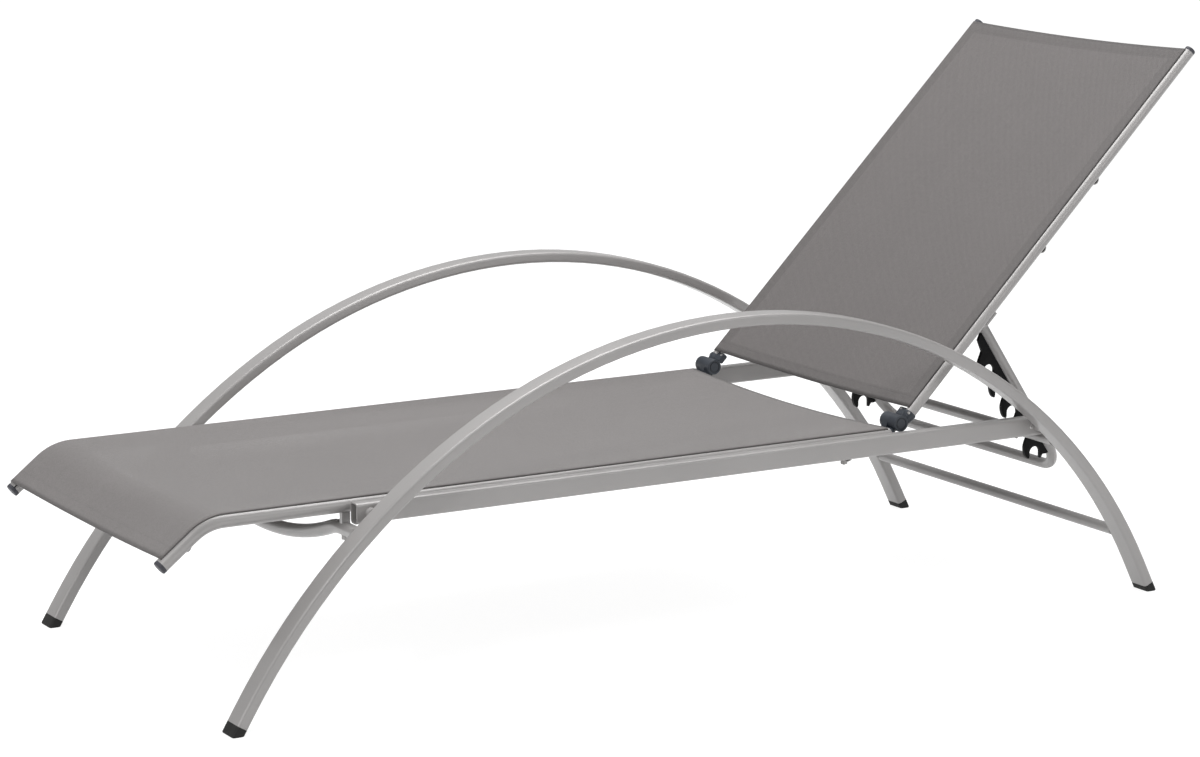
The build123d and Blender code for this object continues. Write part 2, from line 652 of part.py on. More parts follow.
for side, sign in sides.items():
    with BuildPart() as seat_leaf:
        knuckle(sign, knuckle_middle_y - knuckle_gap, knuckle_inner_y)
        with BuildSketch(side_plane(sign * (bed_half - seat_rail_diameter))):
            with BuildLine():
                Polyline((seat_rail_rear_x, seat_rail_z - seat_rail_radius),
                         (seat_rail_rear_x + seat_flange, seat_rail_z - seat_rail_radius),
                         (pin_x + knuckle_radius * cos(radians(back_angle)),
                          pin_z - knuckle_radius * sin(radians(back_angle))),
                         (pin_x - knuckle_radius * cos(radians(back_angle)),
                          pin_z + knuckle_radius * sin(radians(back_angle))),
                         (seat_rail_rear_x, seat_rail_z + seat_rail_radius), close=True)
            make_face()
        extrude(amount=-sign * (knuckle_middle_y - knuckle_gap - bed_half + seat_rail_diameter))
        with BuildSketch(Plane((seat_rail_rear_x, sign * bed_half, seat_rail_z), x_dir=(0, 1, 0),
                               z_dir=(1, 0, 0))):
            Circle(seat_rail_radius)
            with Locations((-sign * seat_rail_diameter / 2, 0)):
                Rectangle(seat_rail_diameter, seat_rail_diameter)
        extrude(amount=seat_flange)
        with BuildSketch(Plane((seat_rail_rear_x, sign * bed_half, seat_rail_z), x_dir=(0, 1, 0),
                               z_dir=(-1, 0, 0))):
            with Locations((sign * rail_plug_side, rail_plug_drop)):
                Circle(rail_plug_radius)
        extrude(amount=hinge_plug_length)
        bore_knuckle(sign, knuckle_middle_y - knuckle_gap, knuckle_inner_y)
    finish(seat_leaf, "hinge_seat_leaf_" + side)

    with BuildPart() as back_leaf:
        knuckle(sign, knuckle_middle_y, knuckle_outer_y)
        neck_foot = Plane(back_plane(sign * bed_half).from_local_coords((0, -back_rail_offset, 0)),
                          x_dir=(0, 1, 0), z_dir=back_plane(0).x_dir)
        with BuildSketch(neck_foot):
            Circle(neck_radius)
        extrude(amount=collar_start, taper=-degrees(atan2(collar_radius - neck_radius, collar_start)))
        with BuildSketch(neck_foot.offset(collar_start)):
            Circle(collar_radius)
        extrude(amount=back_rail_start - collar_start)
        with BuildSketch(back_plane(sign * (bed_half - shoulder_inset))):
            with Locations(((shoulder_start + shoulder_end) / 2, -shoulder_front - shoulder_depth / 2)):
                RectangleRounded(shoulder_end - shoulder_start, shoulder_depth, shoulder_corner)
        extrude(amount=-sign * shoulder_inset)
        with BuildSketch(rail_mouth(sign)):
            Circle(back_rail_radius + crossing_gap)
        extrude(amount=collar_radius, mode=Mode.SUBTRACT)
        with BuildSketch(rail_mouth(sign)):
            with Locations((sign * back_plug_side, -back_plug_drop)):
                Circle(back_plug_radius)
        extrude(amount=hinge_plug_length)
        with BuildSketch(side_plane(sign * knuckle_inner_y)):
            with Locations((pin_x, pin_z)):
                Circle(knuckle_radius + crossing_gap)
        extrude(amount=-sign * (knuckle_middle_y - knuckle_inner_y), mode=Mode.SUBTRACT)
        bore_knuckle(sign, knuckle_middle_y, knuckle_outer_y)
        for rivet_plane in (collar_rivet_plane(sign), shoulder_rivet_plane(sign)):
            with BuildSketch(rivet_plane):
                Circle(rivet_radius + hole_clearance)
            extrude(amount=rivet_length, both=True, mode=Mode.SUBTRACT)
    finish(back_leaf, "hinge_back_leaf_" + side)

    with BuildPart() as hinge_pin:
        pin_inner = knuckle_inner_y + hinge_recess_depth - hinge_head_gap
        pin_outer = knuckle_outer_y - hinge_recess_depth + hinge_head_gap
        with BuildSketch(side_plane(sign * pin_inner)):
            with Locations((pin_x, pin_z)):
                Circle(hinge_pin_radius)
        extrude(amount=-sign * (pin_outer - pin_inner))
        for head_y in (pin_inner - hinge_head_height, pin_outer):
            with BuildSketch(side_plane(sign * head_y)):
                with Locations((pin_x, pin_z)):
                    Circle(hinge_head_radius)
            extrude(amount=-sign * hinge_head_height)
    finish(hinge_pin, "hinge_pin_" + side)


def rivet(plane):
    """A blind rivet with a low domed head, set where a plane meets a surface."""
    for radius, length, taper in ((rivet_radius, -rivet_length, 0), (rivet_head_radius, rivet_head_height, 35)):
        with BuildSketch(plane) as disc:
            Circle(radius)
        extrude(disc.sketch, amount=length, taper=taper)


with BuildPart() as back_rivets:
    for sign in sides.values():
        rivet(collar_rivet_plane(sign))
        rivet(shoulder_rivet_plane(sign))
finish(back_rivets, "hinge_back_rivets")

with BuildPart() as seat_rivets:
    for sign in sides.values():
        rivet(seat_rivet_plane(sign))
finish(seat_rivets, "hinge_seat_rivets")

# Prop frame, a U bent from one tube, pivoted on lugs behind the back rails
prop_corner_x, prop_corner_z = on_prop(prop_length, 0)
prop_top_x, prop_top_z = on_prop(-prop_top_reach, 0)
with BuildPart() as prop_frame:
    with BuildLine() as prop_path:
        FilletPolyline((prop_top_x, -prop_half, prop_top_z), (prop_corner_x, -prop_half, prop_corner_z),
                       (prop_corner_x, prop_half, prop_corner_z), (prop_top_x, prop_half, prop_top_z),
                       radius=prop_bend_radius)
    with BuildSketch(Plane(prop_path.wire() @ 0, z_dir=prop_path.wire() % 0)):
        Circle(bar_radius)
        Circle(bar_radius - bar_wall, mode=Mode.SUBTRACT)
    sweep(path=prop_path.wire())
    with BuildSketch(side_plane(0)):
        with Locations((pivot_x, pivot_z)):
            Circle(prop_bolt_radius + prop_bolt_clearance)
    extrude(amount=prop_half + bar_diameter, both=True, mode=Mode.SUBTRACT)
finish(prop_frame, "prop_frame")

lug_inner_y = prop_half + bar_radius + lug_gap
with BuildPart() as pivot_bolts:
    for sign in sides.values():
        head_y = prop_half - bar_radius - bolt_side_gap
        with BuildSketch(side_plane(sign * head_y)):
            with Locations((pivot_x, pivot_z)):
                Circle(prop_bolt_radius)
        extrude(amount=-sign * (lug_inner_y + lug_thickness - head_y))
        with BuildSketch(side_plane(sign * head_y)):
            with Locations((pivot_x, pivot_z)):
                Circle(bolt_head_radius)
        extrude(amount=sign * bolt_head_height)
        with BuildSketch(side_plane(sign * (lug_inner_y - lug_gap + bolt_side_gap))):
            with Locations((pivot_x, pivot_z)):
                Circle(bolt_head_radius)
        extrude(amount=-sign * (lug_gap - bolt_side_gap))
finish(pivot_bolts, "pivot_bolts")

for side, sign in sides.items():
    shelf_top = -back_rail_offset - back_rail_radius
    lug_end = -back_rail_offset - prop_pivot_offset
    with BuildPart() as lug:
        with BuildSketch(back_plane(sign * lug_inner_y)):
            with Locations((prop_pivot_place, lug_end)):
                Circle(lug_radius)
            with Locations((prop_pivot_place, (shelf_top + lug_end) / 2)):
                Rectangle(2 * lug_radius, shelf_top - lug_end)
            with Locations((prop_pivot_place, lug_end)):
                Circle(prop_bolt_radius, mode=Mode.SUBTRACT)
        extrude(amount=-sign * lug_thickness)
        with BuildSketch(back_plane(sign * lug_inner_y)):
            with Locations((prop_pivot_place, shelf_top - lug_thickness / 2)):
                Rectangle(lug_shelf_length, lug_thickness)
        extrude(amount=-sign * (bed_half - lug_inner_y + lug_thickness))
    finish(lug, "pivot_lug_" + side)

# Combs, five downward notches with hooked claws in a black moulding along each prop leg
notch_radius = bar_radius + notch_clearance
for side, sign in sides.items():
    with BuildPart() as comb:
        with BuildSketch(side_plane(sign * (prop_half - comb_thickness / 2))):
            with BuildLine():
                first_x, first_z = notches[0]
                edge = Polyline(on_prop(comb_start, 0), on_prop(comb_shoulder, comb_spine),
                                (first_x - claw_outs[0], first_z + claw_rises[0]))
                for notch_x, notch_z in notches:
                    claw = [(notch_x - out, notch_z + rise) for out, rise in zip(claw_outs, claw_rises)]
                    if edge @ 1 != Vector(*claw[0]):
                        Line(edge @ 1, claw[0])
                    back = Spline(*claw)
                    tip = Spline(back @ 1, (notch_x - notch_radius, notch_z + claw_tip_rise),
                                 tangents=(back % 1, (0, 1)))
                    Line(tip @ 1, (notch_x - notch_radius, notch_z))
                    ThreePointArc((notch_x - notch_radius, notch_z), (notch_x, notch_z + notch_radius),
                                  (notch_x + notch_radius, notch_z))
                    edge = Line((notch_x + notch_radius, notch_z),
                                (notch_x + notch_radius, notch_z + claw_tip_rise / 2))
                Polyline(edge @ 1, (notch_x + notch_radius, notch_z - lip_drop),
                         (notch_x + notch_radius + lip_width, notch_z - lip_drop),
                         (notch_x + (notch_radius + comb_tail_out) / 2, notch_z - comb_tail_drop),
                         (notch_x + comb_tail_out, notch_z - comb_tail_drop),
                         on_prop(comb_end, 0), on_prop(comb_start, 0))
            make_face()
        extrude(amount=-sign * comb_thickness)
        with BuildSketch(Plane(prop_path.wire() @ 0, z_dir=prop_path.wire() % 0)):
            Circle(bar_radius)
        sweep(path=prop_path.wire(), mode=Mode.SUBTRACT)
    finish(comb, "comb_" + side)
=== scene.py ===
from math import cos, pi, radians, sin
import bmesh
import bpy
from mathutils import Matrix, Vector


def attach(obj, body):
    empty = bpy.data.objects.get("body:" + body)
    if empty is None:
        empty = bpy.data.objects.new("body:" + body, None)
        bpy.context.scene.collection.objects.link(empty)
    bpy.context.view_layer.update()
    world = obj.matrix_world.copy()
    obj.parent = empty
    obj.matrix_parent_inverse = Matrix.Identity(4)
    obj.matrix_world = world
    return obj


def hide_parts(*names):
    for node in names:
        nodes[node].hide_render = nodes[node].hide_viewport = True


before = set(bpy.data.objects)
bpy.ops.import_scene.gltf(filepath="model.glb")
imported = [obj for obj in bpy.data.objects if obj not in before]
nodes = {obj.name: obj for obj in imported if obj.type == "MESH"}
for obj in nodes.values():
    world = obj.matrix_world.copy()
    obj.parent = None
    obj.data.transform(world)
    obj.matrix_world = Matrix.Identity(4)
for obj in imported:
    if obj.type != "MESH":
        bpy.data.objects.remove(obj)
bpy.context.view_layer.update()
print("frame loaded:", len(nodes), "nodes")


# an input that is given as a socket is linked, and any other value is set
def addNode(tree, kind, inputs=None, **settings):
    node = tree.nodes.new(kind)
    for key, value in settings.items():
        setattr(node, key, value)
    for key, value in (inputs or {}).items():
        if isinstance(value, bpy.types.NodeSocket):
            tree.links.new(value, node.inputs[key])
        else:
            node.inputs[key].default_value = value
    return node


def maths(tree, operation, first, second=None, clamp=False):
    inputs = {0: first}
    if second is not None:
        inputs[1] = second
    return addNode(tree, "ShaderNodeMath", inputs, operation=operation, use_clamp=clamp).outputs[0]


def add(tree, first, second, clamp=False):
    return maths(tree, "ADD", first, second, clamp)


def subtract(tree, first, second, clamp=False):
    return maths(tree, "SUBTRACT", first, second, clamp)


def multiply(tree, first, second):
    return maths(tree, "MULTIPLY", first, second)


def remap(tree, value, start, end, low=0.0, high=1.0):
    inputs = {"Value": value, "From Min": start, "From Max": end, "To Min": low, "To Max": high}
    return addNode(tree, "ShaderNodeMapRange", inputs).outputs[0]


def noise(tree, place, scale, detail):
    inputs = {"Vector": place, "Scale": scale, "Detail": detail}
    return addNode(tree, "ShaderNodeTexNoise", inputs).outputs[0]


def mixColors(tree, share, first, second, blend="MIX"):
    inputs = {"Factor": share, "A": first, "B": second}
    return addNode(tree, "ShaderNodeMix", inputs, data_type="RGBA",
                   blend_type=blend).outputs["Result"]


# shader groups are built once and placed in several materials
def startGroup(name, inputs, outputs):
    group = bpy.data.node_groups.new(name, "ShaderNodeTree")
    for direction, sockets in (("INPUT", inputs), ("OUTPUT", outputs)):
        for label, kind in sockets.items():
            group.interface.new_socket(label, in_out=direction, socket_type="NodeSocket" + kind)
    into = group.nodes.new("NodeGroupInput")
    return group, into.outputs, group.nodes.new("NodeGroupOutput")


def finishGroup(group, out, **outputs):
    for label, socket in outputs.items():
        group.links.new(socket, out.inputs[label])
    return group


# fine orange-peel grain of a powder coat, with slow drifts of tone
coatGrain = {"grainDetail": 2.0, "driftDetail": 3.0, "speckShare": 0.45, "driftFrom": 0.35,
             "driftTo": 0.65, "driftTone": 0.7, "grainTone": 0.3, "driftMiddle": 0.5,
             "driftRough": 0.22, "grainHeight": 0.7, "speckHeight": 0.5}


def buildCoatGroup(spec):
    group, into, out = startGroup(
        "coatGrain", {"Vector": "Vector", "Grain": "Float", "Drift": "Float", "Light": "Color",
                      "Dark": "Color", "Rough": "Float"},
        {"Color": "Color", "Roughness": "Float", "Height": "Float"})
    grain = noise(group, into["Vector"], into["Grain"], spec["grainDetail"])
    drift = noise(group, into["Vector"], into["Drift"], spec["driftDetail"])
    speckScale = multiply(group, into["Grain"], spec["speckShare"])
    speck = addNode(group, "ShaderNodeTexVoronoi", {"Vector": into["Vector"], "Scale": speckScale})
    spread = remap(group, drift, spec["driftFrom"], spec["driftTo"])
    share = add(group, multiply(group, spread, spec["driftTone"]),
                multiply(group, grain, spec["grainTone"]), True)
    swing = multiply(group, subtract(group, drift, spec["driftMiddle"]), spec["driftRough"])
    height = add(group, multiply(group, grain, spec["grainHeight"]),
                 multiply(group, speck.outputs["Distance"], spec["speckHeight"]))
    return finishGroup(group, out, Color=mixColors(group, share, into["Dark"], into["Light"]),
                       Roughness=add(group, into["Rough"], swing), Height=height)


# plain weave of coated yarns: their height, the gaps between them and each yarn's own tone
yarnWeave = {"swing": 0.35, "level": 0.62, "gapFrom": 0.30, "gapTo": 0.42, "rowStep": 0.013}


def buildWeaveGroup(spec):
    group, into, out = startGroup(
        "yarnWeave", {"Vector": "Vector", "Warp": "Float", "Weft": "Float"},
        {"Height": "Float", "Gap": "Float", "Yarn": "Float"})
    split = addNode(group, "ShaderNodeSeparateXYZ", {0: into["Vector"]})
    across = multiply(group, split.outputs[0], into["Warp"])
    along = multiply(group, split.outputs[1], into["Weft"])
    crowns = []
    for own, other in ((across, along), (along, across)):
        ridge = maths(group, "ABSOLUTE", maths(group, "SINE", multiply(group, own, pi)))
        turn = multiply(group, maths(group, "FLOOR", own), pi)
        wave = maths(group, "COSINE", add(group, multiply(group, other, pi), turn))
        crowns.append((ridge, multiply(group, wave, spec["swing"])))
    (warpRidge, warpWave), (weftRidge, weftWave) = crowns
    warpTop = multiply(group, warpRidge, add(group, warpWave, spec["level"]))
    weftTop = multiply(group, weftRidge, subtract(group, spec["level"], weftWave))
    widest = maths(group, "MAXIMUM", warpRidge, weftRidge)
    gap = remap(group, widest, spec["gapFrom"], spec["gapTo"], 1.0, 0.0)
    row = multiply(group, maths(group, "FLOOR", along), spec["rowStep"])
    cell = addNode(group, "ShaderNodeCombineXYZ", {0: maths(group, "FLOOR", across), 1: row})
    yarn = addNode(group, "ShaderNodeTexWhiteNoise", {"Vector": cell.outputs[0]},
                   noise_dimensions="3D")
    return finishGroup(group, out, Height=maths(group, "MAXIMUM", warpTop, weftTop), Gap=gap,
                       Yarn=yarn.outputs["Value"])


# moulded plastic and rubber: a spark-eroded grain, a cloudy tone and a little dust in it
mouldGrain = {"grainDetail": 3.0, "cloudScale": 38.0, "cloudDetail": 4.0, "dustFrom": 0.42,
              "dustTo": 0.78, "dustMost": 0.4, "cloudMiddle": 0.5, "cloudRough": 0.3}


def buildMouldGroup(spec):
    group, into, out = startGroup(
        "mouldGrain", {"Vector": "Vector", "Grain": "Float", "Base": "Color", "Dust": "Color",
                       "Rough": "Float"},
        {"Color": "Color", "Roughness": "Float", "Height": "Float"})
    grain = noise(group, into["Vector"], into["Grain"], spec["grainDetail"])
    cloud = noise(group, into["Vector"], spec["cloudScale"], spec["cloudDetail"])
    mask = remap(group, cloud, spec["dustFrom"], spec["dustTo"], 0.0, spec["dustMost"])
    swing = multiply(group, subtract(group, cloud, spec["cloudMiddle"]), spec["cloudRough"])
    return finishGroup(group, out, Color=mixColors(group, mask, into["Base"], into["Dust"]),
                       Roughness=add(group, into["Rough"], swing), Height=grain)


# how close a point of a sheet is to its edges, and the stitched seam lines along its end hems
clothEdges = {"sidePower": 1.4, "endShare": 0.6, "seamInset": 0.004, "seamHalf": 0.0007,
              "stitches": 290.0, "stitchShare": 0.72}


def buildEdgeGroup(spec):
    group, into, out = startGroup(
        "clothEdges", {"Vector": "Vector", "Half": "Float", "Length": "Float", "Side": "Float",
                       "End": "Float", "Hem": "Float"},
        {"Edge": "Float", "Seam": "Float"})
    split = addNode(group, "ShaderNodeSeparateXYZ", {0: into["Vector"]})
    across, along = split.outputs[0], split.outputs[1]
    toSide = subtract(group, into["Half"], maths(group, "ABSOLUTE", across))
    toEnd = maths(group, "MINIMUM", along, subtract(group, into["Length"], along))
    side = subtract(group, 1.0, maths(group, "DIVIDE", toSide, into["Side"]), True)
    end = subtract(group, 1.0, maths(group, "DIVIDE", toEnd, into["End"]), True)
    edge = maths(group, "MAXIMUM", maths(group, "POWER", side, spec["sidePower"]),
                 multiply(group, maths(group, "SQRT", end), spec["endShare"]))
    seamPlace = subtract(group, into["Hem"], spec["seamInset"])
    offLine = maths(group, "ABSOLUTE", subtract(group, toEnd, seamPlace))
    line = maths(group, "LESS_THAN", offLine, spec["seamHalf"])
    stitch = maths(group, "FRACT", multiply(group, across, spec["stitches"]))
    dash = maths(group, "LESS_THAN", stitch, spec["stitchShare"])
    return finishGroup(group, out, Edge=edge, Seam=multiply(group, line, dash))


coatGroup = buildCoatGroup(coatGrain)
weaveGroup = buildWeaveGroup(yarnWeave)
mouldGroup = buildMouldGroup(mouldGrain)
edgeGroup = buildEdgeGroup(clothEdges)


def startMaterial(name):
    material = bpy.data.materials.new(name)
    material.use_nodes = True
    tree = material.node_tree
    return material, tree, tree.nodes["Principled BSDF"]


def placeGroup(tree, group, inputs):
    return addNode(tree, "ShaderNodeGroup", inputs, node_tree=group).outputs


def addBump(tree, shader, height, strength, distance):
    inputs = {"Height": height, "Strength": strength, "Distance": distance}
    bump = addNode(tree, "ShaderNodeBump", inputs)
    tree.links.new(bump.outputs[0], shader.inputs["Normal"])


# a finish on a CAD node, its grain placed by the node's own coordinates
def grainMaterial(name, group, groupInputs, shaderInputs, bump, bumpDepth):
    material, tree, shader = startMaterial(name)
    place = addNode(tree, "ShaderNodeTexCoord").outputs["Object"]
    grain = placeGroup(tree, group, {"Vector": place, **groupInputs})
    tree.links.new(grain["Color"], shader.inputs["Base Color"])
    tree.links.new(grain["Roughness"], shader.inputs["Roughness"])
    for label, value in shaderInputs.items():
        shader.inputs[label].default_value = value
    addBump(tree, shader, grain["Height"], bump, bumpDepth)
    return material


coatFinish = {"clearRough": 0.16, "bumpDepth": 0.00006}
mouldFinish = {"bumpDepth": 0.00008}


def coatMaterial(name, spec):
    return grainMaterial(
        name, coatGroup, {"Light": spec["light"], "Dark": spec["dark"], "Grain": spec["grain"],
                          "Drift": spec["drift"], "Rough": spec["rough"]},
        {"Metallic": spec["metallic"], "Coat Weight": spec["coat"],
         "Coat Roughness": coatFinish["clearRough"]}, spec["bump"], coatFinish["bumpDepth"])


def mouldMaterial(name, spec):
    return grainMaterial(
        name, mouldGroup, {"Base": spec["base"], "Dust": spec["dust"], "Grain": spec["grain"],
                           "Rough": spec["rough"]},
        {"Specular IOR Level": spec["specular"]}, spec["bump"], mouldFinish["bumpDepth"])


# the mesh cloth: open weave in the field, closed at the hems, with painted shade where it meets
# the rails and in the valleys of the weave
def clothMaterial(name, spec):
    material, tree, shader = startMaterial(name)
    place = addNode(tree, "ShaderNodeTexCoord").outputs["UV"]
    weave = placeGroup(tree, weaveGroup,
                       {"Vector": place, "Warp": spec["warp"], "Weft": spec["weft"]})
    edges = placeGroup(tree, edgeGroup,
                       {"Vector": place, "Half": spec["half"], "Length": spec["length"],
                        "Side": spec["sideShade"], "End": spec["endShade"],
                        "Hem": spec["hemEnd"]})
    hem = addNode(tree, "ShaderNodeAttribute", attribute_name="hem").outputs["Fac"]
    cloud = noise(tree, place, spec["cloudScale"], spec["cloudDetail"])
    streak = addNode(tree, "ShaderNodeMapping", {"Vector": place, "Scale": spec["slubStretch"]})
    slub = noise(tree, streak.outputs[0], spec["slubScale"], spec["slubDetail"])
    share = add(tree, multiply(tree, weave["Yarn"], spec["yarnShare"]),
                add(tree, multiply(tree, cloud, spec["cloudShare"]),
                    multiply(tree, slub, spec["slubShare"])), True)
    yarnTone = mixColors(tree, share, spec["dark"], spec["light"])
    # painted shade: the valleys of the weave are darkened by their depth, and the yarn crowns are
    # lightened a little
    valleyShade = remap(tree, weave["Height"], *spec["depthFrom"], *spec["depthTo"])
    # painted shade along the sides, where the cloth tucks into the rail grooves, and darkening
    # towards the ends; the hem and stitch tones are added to it
    dark = add(tree, multiply(tree, hem, spec["hemDark"]),
               multiply(tree, edges["Edge"], spec["paintedEdgeShade"]))
    dark = add(tree, dark, multiply(tree, edges["Seam"], spec["seamDark"]), True)
    shade = multiply(tree, valleyShade, subtract(tree, 1.0, dark))
    tone = mixColors(tree, 1.0, yarnTone, shade, "MULTIPLY")
    tree.links.new(tone, shader.inputs["Base Color"])
    rough = add(tree, spec["rough"], multiply(tree, cloud, spec["cloudRough"]))
    tree.links.new(rough, shader.inputs["Roughness"])
    gap = multiply(tree, weave["Gap"], subtract(tree, 1.0, hem))
    closed = subtract(tree, 1.0, multiply(tree, gap, spec["open"]))
    tree.links.new(closed, shader.inputs["Alpha"])
    shader.inputs["Specular IOR Level"].default_value = spec["specular"]
    shader.inputs["Sheen Weight"].default_value = spec["sheen"]
    shader.inputs["Sheen Roughness"].default_value = spec["sheenRough"]
    height = subtract(tree, weave["Height"], multiply(tree, edges["Seam"], spec["seamDepth"]))
    addBump(tree, shader, height, spec["bump"], spec["bumpDepth"])
    return material


frameCoat = coatMaterial("frameCoat", {
    "light": (0.420, 0.407, 0.402, 1), "dark": (0.375, 0.363, 0.358, 1), "grain": 950.0,
    "drift": 4.5, "rough": 0.38, "metallic": 0.15, "coat": 0.45, "bump": 0.4})
rivetMetal = coatMaterial("rivetMetal", {
    "light": (0.62, 0.61, 0.60, 1), "dark": (0.48, 0.475, 0.47, 1), "grain": 2200.0,
    "drift": 60.0, "rough": 0.32, "metallic": 1.0, "coat": 0.0, "bump": 0.3})
hingeSlate = mouldMaterial("hingeSlate", {
    "base": (0.032, 0.038, 0.049, 1), "dust": (0.07, 0.08, 0.096, 1), "grain": 1500.0,
    "rough": 0.44, "specular": 0.45, "bump": 0.4})
capSlate = mouldMaterial("capSlate", {
    "base": (0.055, 0.056, 0.068, 1), "dust": (0.10, 0.10, 0.115, 1), "grain": 1500.0,
    "rough": 0.5, "specular": 0.4, "bump": 0.4})
combBlack = mouldMaterial("combBlack", {
    "base": (0.0045, 0.0045, 0.005, 1), "dust": (0.009, 0.009, 0.0095, 1), "grain": 1700.0,
    "rough": 0.5, "specular": 0.12, "bump": 0.4})
footRubber = mouldMaterial("footRubber", {
    "base": (0.018, 0.018, 0.018, 1), "dust": (0.055, 0.053, 0.05, 1), "grain": 900.0,
    "rough": 0.68, "specular": 0.3, "bump": 0.6})
edgeCord = mouldMaterial("edgeCord", {
    "base": (0.16, 0.155, 0.15, 1), "dust": (0.20, 0.195, 0.19, 1), "grain": 1200.0,
    "rough": 0.6, "specular": 0.3, "bump": 0.3})
print("materials made")


# CAD nodes get smooth shading, softened edges and their finishes, by the start of their names;
# the first name that fits counts, and the rest of the nodes are coated tube
nodeFinish = {"hinge_back_rivets": rivetMetal, "hinge_seat_rivets": rivetMetal,
              "arch_bolts": rivetMetal, "pivot_bolts": rivetMetal, "foot_front": footRubber,
              "foot_rear": footRubber, "hinge_": hingeSlate, "comb_": combBlack,
              "seat_rail_cap": capSlate, "back_rail_cap": capSlate,
              "seat_edge_cords": edgeCord, "back_edge_cords": edgeCord}
edgeSoftness = {"foot_front": 0.003, "foot_rear": 0.003, "comb_": 0.0005,
                "seat_rail_cap": 0.0008, "back_rail_cap": 0.0006}
edgeSpec = {"weld": 0.00001, "bevelSegments": 3, "bevelAngle": radians(35),
            "splitAngle": radians(28)}


def startOf(name, table, otherwise):
    return next((value for key, value in table.items() if name.startswith(key)), otherwise)


for name, node in nodes.items():
    node.data.materials.clear()
    node.data.materials.append(startOf(name, nodeFinish, frameCoat))
    for polygon in node.data.polygons:
        polygon.use_smooth = True
    if node.data.attributes.get("custom_normal"):
        node.data.attributes.remove(node.data.attributes["custom_normal"])
    weld = node.modifiers.new("weld", "WELD")
    weld.merge_threshold = edgeSpec["weld"]
    softness = startOf(name, edgeSoftness, 0)
    if softness:
        soften = node.modifiers.new("soften", "BEVEL")
        soften.width = softness
        soften.segments = edgeSpec["bevelSegments"]
        soften.limit_method = "ANGLE"
        soften.angle_limit = edgeSpec["bevelAngle"]
    split = node.modifiers.new("split", "EDGE_SPLIT")
    split.split_angle = edgeSpec["splitAngle"]
print("CAD nodes finished")


# mesh cloth: a grid cut at its hems, hung between the rails and wrapped over their tops
def wrapShape(spec):
    slope = 2 * spec["sag"] / spec["rail"]
    reach = spec["rail"] - spec["wrap"] * sin(slope)
    return slope, reach, reach + spec["wrap"] * (slope + spec["turn"])


def clothGrid(spec):
    half, length, step = spec["half"], spec["length"], spec["step"]
    bm = bmesh.new()
    bmesh.ops.create_grid(bm, x_segments=spec["across"], y_segments=spec["along"], size=0.5)
    bmesh.ops.scale(bm, vec=(2 * half, length, 1), verts=bm.verts)
    bmesh.ops.translate(bm, vec=(0, length / 2, 0), verts=bm.verts)
    ends = (spec["hemEnd"], length - spec["hemEnd"])
    fold = spec["wrap"] * (spec["turn"] + spec["foldOver"])
    cuts = [(1, at + nudge) for at in ends for nudge in (-step, step)]
    for side in (-1, 1):
        cuts += [(0, side * (half - spec["hemSide"] + nudge)) for nudge in (-step, step)]
        cuts += [(0, side * (half - fold * share)) for share in spec["foldShares"]]
    for axis, at in cuts:
        direction = Vector((1, 0, 0)) if axis == 0 else Vector((0, 1, 0))
        bmesh.ops.bisect_plane(bm, geom=bm.verts[:] + bm.edges[:] + bm.faces[:],
                               plane_co=direction * at, plane_no=direction)
    return bm


def hangCloth(bm, spec, place):
    half, length, rail, wrap = spec["half"], spec["length"], spec["rail"], spec["wrap"]
    uvs = bm.loops.layers.uv.new("cloth")
    hem = bm.verts.layers.float.new("hem")
    weights = bm.verts.layers.deform.verify()
    for face in bm.faces:
        for loop in face.loops:
            loop[uvs].uv = (loop.vert.co.x, loop.vert.co.y)
    slope, reach = wrapShape(spec)[:2]
    for vert in bm.verts:
        u, v = vert.co.x, vert.co.y
        inside = min(half - spec["hemSide"] - abs(u), v - spec["hemEnd"],
                     length - spec["hemEnd"] - v)
        tuck = max(0, (abs(u) - half + spec["tuck"]) / spec["tuck"])
        vert[hem] = 0.0 if inside > 0 else 1.0
        vert[weights][0] = spec["single"] if inside > 0 else 1.0 - spec["tuckThin"] * tuck
        if abs(u) <= reach:
            rise = wrap * cos(slope) - spec["sag"] * (1 - (u / reach)**2)
            vert.co = place(u, rise, v)
        else:
            angle = (abs(u) - reach) / wrap - slope
            radius = wrap - tuck**2 * spec["thickness"] * spec["tuckShare"]
            out = rail + radius * sin(angle)
            vert.co = place(out if u > 0 else -out, radius * cos(angle), v)
    bmesh.ops.recalc_face_normals(bm, faces=bm.faces)
    if sum(face.normal.z * face.calc_area() for face in bm.faces) < 0:
        bmesh.ops.reverse_faces(bm, faces=bm.faces)


def clothPiece(name, spec, place, material):
    bm = clothGrid(spec)
    hangCloth(bm, spec, place)
    mesh = bpy.data.meshes.new(name)
    bm.to_mesh(mesh)
    bm.free()
    piece = bpy.data.objects.new(name, mesh)
    bpy.context.scene.collection.objects.link(piece)
    piece.vertex_groups.new(name="cloth")
    for polygon in mesh.polygons:
        polygon.use_smooth = True
    wall = piece.modifiers.new("thickness", "SOLIDIFY")
    wall.thickness = spec["thickness"]
    wall.offset = -1
    wall.vertex_group = "cloth"
    wall.use_even_offset = True
    mesh.materials.append(material)
    return piece


# places follow the axis of a rail; wrap is the rail's radius and the cloth's thickness over it
clothBase = {"rail": 0.279, "across": 36, "step": 0.0006, "thickness": 0.0018, "single": 0.5,
             "tuck": 0.0016, "tuckThin": 0.75, "tuckShare": 0.8, "foldOver": 0.1}

